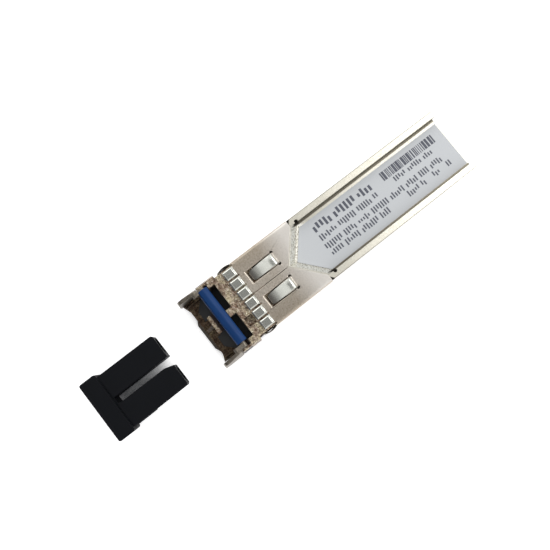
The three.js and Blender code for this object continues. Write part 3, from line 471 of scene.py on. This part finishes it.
def eased(node, width):
    """A copy of a CAD node with its sharp edges rounded, which stands for that node."""
    bm = bmesh.new()
    bm.from_mesh(frame["nodes"][node].data)
    bmesh.ops.remove_doubles(bm, verts=bm.verts, dist=WELD)
    bmesh.ops.dissolve_limit(bm, angle_limit=FLAT_TURN, verts=bm.verts, edges=bm.edges)
    if node not in WHOLE_FACES:
        bmesh.ops.connect_verts_concave(bm, faces=bm.faces)
    sharp = [e for e in bm.edges if len(e.link_faces) == 2 and e.calc_face_angle(0.0) > SHARP_TURN]
    bmesh.ops.bevel(
        bm,
        geom=sharp,
        offset=width,
        offset_type="OFFSET",
        segments=ROUNDING_STEPS,
        profile=0.5,
        affect="EDGES",
        clamp_overlap=False,
        face_strength_mode="ALL",
    )
    pull_to_surface(bm, node, width)
    mesh = mesh_from(node + "_finish", bm)
    for polygon in mesh.polygons:
        polygon.use_smooth = True
    mesh.set_sharp_from_angle(angle=SHADING_BREAK)
    obj = new_object(node + "_finish", mesh)
    weighted = obj.modifiers.new("even_normals", "WEIGHTED_NORMAL")
    weighted.keep_sharp = True
    weighted.use_face_influence = True
    weighted.weight = 100
    return obj


def finish_piece(obj, material, body, slot, *nodes):
    obj.data.materials.clear()
    obj.data.materials.append(material)
    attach(obj, body)
    if nodes:
        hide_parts(*nodes)
    return obj


def bars(name, rectangles, low, high):
    """Flat printed bars. Each rectangle is (x0, x1, y0, y1) in millimetres."""
    bm = bmesh.new()
    for x0, x1, y0, y1 in rectangles:
        corners = [(x0, y0), (x1, y0), (x1, y1), (x0, y1)]
        lower = [bm.verts.new((x * MM, y * MM, low)) for x, y in corners]
        upper = [bm.verts.new((x * MM, y * MM, high)) for x, y in corners]
        bm.faces.new(lower[::-1])
        bm.faces.new(upper)
        for i in range(4):
            j = (i + 1) % 4
            bm.faces.new((lower[i], lower[j], upper[j], upper[i]))
    return new_object(name, mesh_from(name, bm))


# ---- label print --------------------------------------------------------------------------


BAR_WIDTHS = (0.16, 0.22, 0.3, 0.52)
BAR_GAPS = (0.1, 0.16, 0.26)
LAST_BAR = 0.5
CLUMP = (4, 8)
CLUMP_GAP = 0.5
PRINT_SUNK = 0.005 * MM
PRINT_PROUD = 0.01 * MM


def bar_code(x0, x1, y0, y1, rng):
    """Upright bars of uneven width across a block."""
    out = []
    y = y0
    while y < y1 - LAST_BAR:
        width = rng.choice(BAR_WIDTHS)
        out.append((x0, x1, y, y + width))
        y += width + rng.choice(BAR_GAPS)
    return out


def word_line(x0, x1, y0, y1, rng, stroke=0.3, pitch=0.56):
    """A row of short upright bars in clumps, which stands for a printed line."""
    out = []
    y = y0
    left = rng.randint(*CLUMP)
    while y < y1 - stroke:
        low = x0 + rng.choice((0.0, 0.0, 0.3)) * (x1 - x0)
        high = x1 - rng.choice((0.0, 0.0, 0.25)) * (x1 - x0)
        out.append((low, high, y, y + stroke))
        y += pitch
        left -= 1
        if left == 0:
            left = rng.randint(*CLUMP)
            y += CLUMP_GAP
    return out


def label_print():
    rng = random.Random(7)
    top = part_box("label_plate")[1].z
    marks = bar_code(-3.5, -1.75, 13.3, 26.6, rng)
    marks += word_line(-3.5, -1.9, -3.0, 10.85, rng, 0.5, 0.86)
    marks += word_line(-1.2, 0.0, -3.0, 11.1, rng)
    marks += word_line(0.7, 1.9, -3.2, 24.8, rng)
    marks += word_line(2.25, 3.5, -3.0, 10.65, rng)
    marks += word_line(-1.4, -0.4, 15.0, 25.0, rng)
    marks += word_line(2.25, 3.5, 15.3, 19.6, rng)
    marks += word_line(2.25, 3.5, 21.5, 23.3, rng)
    marks += word_line(2.3, 3.4, 24.9, 26.2, rng, 0.3, 0.55)
    piece = bars("label_print", marks, top - PRINT_SUNK, top + PRINT_PROUD)
    return finish_piece(piece, label_ink(), "module", "label_film")


# ---- set ----------------------------------------------------------------------------------


FLOOR_HALF = 6.0
FLOOR_GAP = 0.02 * MM
FLOOR_GLOW = 0.5
SHADE_REACH = 9.0 * MM
SHADE_SPAN = (0.2, 0.5)


def add_floor(height):
    """Pale paper that glows a little, and darkens only where the part nearly covers it."""
    half = FLOOR_HALF
    corners = [(-half, -half), (half, -half), (half, half), (-half, half)]
    bm = bmesh.new()
    bm.faces.new([bm.verts.new((x, y, height)) for x, y in corners])
    floor = new_object("floor", mesh_from("floor", bm))
    look = Look("floor_paper", roughness=0.9, specular=0.1)
    look.shader.inputs["Emission Color"].default_value = (1.0, 1.0, 1.0, 1.0)
    shade = look.tree.nodes.new("ShaderNodeAmbientOcclusion")
    shade.inputs["Distance"].default_value = SHADE_REACH
    open_sky = look.between(shade.outputs["AO"], *SHADE_SPAN)
    paper = look.mix(look.noise(0.05, 2.0), "#fbfbfb", "#ffffff")
    look.colour(look.mix(open_sky, "#4c4f54", paper))
    look.link(look.math("MULTIPLY", open_sky, FLOOR_GLOW), look.shader.inputs["Emission Strength"])
    floor.data.materials.append(look.material)


def add_area(name, place, aim, size, power):
    data = bpy.data.lights.new(name, "AREA")
    data.shape = "RECTANGLE"
    data.size, data.size_y = size
    data.energy = power
    light = bpy.data.objects.new(name, data)
    light.location = place
    light.rotation_euler = (Vector(aim) - Vector(place)).to_track_quat("-Z", "Y").to_euler()
    bpy.context.scene.collection.objects.link(light)


# Brightness of the room by direction, from straight in front of the ports (-1) to straight behind (1).
ROOM_GREYS = ((-1.0, 0.1), (-0.6, 0.16), (-0.5, 0.32), (-0.42, 1.0), (-0.3, 1.1), (0.0, 1.0))


def add_world():
    """An even white room, with a dim low part on the port side that shows in the bright metal."""
    world = bpy.data.worlds.new("studio")
    world.use_nodes = True
    tree = world.node_tree
    background = tree.nodes["Background"]
    place = tree.nodes.new("ShaderNodeTexCoord")
    split = tree.nodes.new("ShaderNodeSeparateXYZ")
    tree.links.new(place.outputs["Generated"], split.inputs["Vector"])
    fade = tree.nodes.new("ShaderNodeValToRGB")
    stops = fade.color_ramp.elements
    while len(stops) < len(ROOM_GREYS):
        stops.new(0.5)
    for stop, (tilt, grey) in zip(stops, ROOM_GREYS):
        stop.position = (tilt + 1.0) / 2.0
        stop.color = (grey, grey, grey, 1.0)
    shift = tree.nodes.new("ShaderNodeMapRange")
    shift.inputs["From Min"].default_value = -1.0
    tree.links.new(split.outputs["Y"], shift.inputs["Value"])
    tree.links.new(shift.outputs["Result"], fade.inputs["Fac"])
    tree.links.new(fade.outputs["Color"], background.inputs["Color"])
    background.inputs["Strength"].default_value = 1.0
    bpy.context.scene.world = world


# A card above the place of the camera, in millimetres from it.
HOOD_GREY = 0.22
HOOD_SIDE = 34.0
HOOD_REAR = 52.0
HOOD_ABOVE = 2.0


def add_hood():
    """A dim card overhead, seen only in the shine of the metal."""
    bm = bmesh.new()
    x, y, z = CAMERA_PLACE
    corners = [(-HOOD_SIDE, 0.0), (HOOD_SIDE, 0.0), (HOOD_SIDE, HOOD_REAR), (-HOOD_SIDE, HOOD_REAR)]
    bm.faces.new([bm.verts.new(((x + u) * MM, (y + v) * MM, (z + HOOD_ABOVE) * MM)) for u, v in corners])
    hood = new_object("camera_hood", mesh_from("camera_hood", bm))
    material = bpy.data.materials.new("camera_hood")
    material.use_nodes = True
    tree = material.node_tree
    tree.nodes.clear()
    glow = tree.nodes.new("ShaderNodeEmission")
    glow.inputs["Color"].default_value = (HOOD_GREY, HOOD_GREY, HOOD_GREY, 1.0)
    output = tree.nodes.new("ShaderNodeOutputMaterial")
    tree.links.new(glow.outputs["Emission"], output.inputs["Surface"])
    hood.data.materials.append(material)
    hood.visible_camera = False
    hood.visible_diffuse = False
    hood.visible_shadow = False
    hood.visible_transmission = False


def add_lights():
    """A key light behind the host end and a weaker one at the left."""
    middle = (0.0, -0.01, 0.0)
    add_area("key_light", (0.02, 0.22, 0.34), middle, (0.25, 0.12), 0.45)
    add_area("side_light", (-0.3, -0.02, 0.3), middle, (0.2, 0.2), 0.2)


# ---- scene --------------------------------------------------------------------------------

bpy.context.scene.view_settings.view_transform = "Standard"
add_camera()
add_floor(LOW[2] - FLOOR_GAP)
add_world()
add_lights()
add_hood()

MAKERS = {
    "cast_metal": cast_metal,
    "cover_metal": cover_metal,
    "collar_steel": collar_steel,
    "label_film": label_film,
    "bail_steel": lambda: dull_steel("bail_steel", "#5d574f", "#8f877b", 0.42),
    "blue_plastic": lambda: moulded("blue_plastic", "#12315f", "#173b6c", 0.42, specular=0.15),
    "black_plastic": lambda: moulded("black_plastic", "#0c0e10", "#131517", 0.45),
    "plug_rubber": lambda: moulded("plug_rubber", "#05070b", "#090b10", 0.6, specular=0.12),
    "gold_plating": gold_plating,
    "turned_steel": turned_steel,
    "white_ceramic": lambda: moulded("white_ceramic", "#e6e3da", "#f2f0ea", 0.25),
    "board_laminate": board_laminate,
    "amber_film": lambda: moulded("amber_film", "#8f5a20", "#b2762e", 0.3),
    "chip_resin": lambda: moulded("chip_resin", "#1c1e23", "#26282e", 0.5),
    "capacitor_body": lambda: moulded("capacitor_body", "#8d7859", "#a58f70", 0.4),
    "pad_silicone": lambda: moulded("pad_silicone", "#8692a0", "#95a2ad", 0.7),
    "spring_steel": lambda: dull_steel("spring_steel", "#a5a29a", "#d2d0c8", 0.3),
}
LOOKS = {slot: make() for slot, make in MAKERS.items()}
NODE_SLOT = {row["node"]: row["material_slot"] for row in frame["record"]["subparts"]}
BODIES = frame["record"]["behaviour"]["bodies"]
NODE_BODY = {node: body for body, nodes in BODIES.items() for node in nodes}

for node, obj in frame["nodes"].items():
    obj.data.materials.clear()
    obj.data.materials.append(LOOKS[NODE_SLOT[node]])

# Pieces with rounded edges, and the width of the rounding in millimetres.
EASED = {
    "lower_housing": 0.06,
    "top_cover": 0.07,
    "emi_collar": 0.07,
    "bail_frame": 0.08,
    "bail_grip": 0.12,
    "dust_plug": 0.08,
    "latch_lever": 0.06,
}
for node, width in EASED.items():
    slot = NODE_SLOT[node]
    finish_piece(eased(node, width * MM), LOOKS[slot], NODE_BODY[node], slot, node)

label_print()
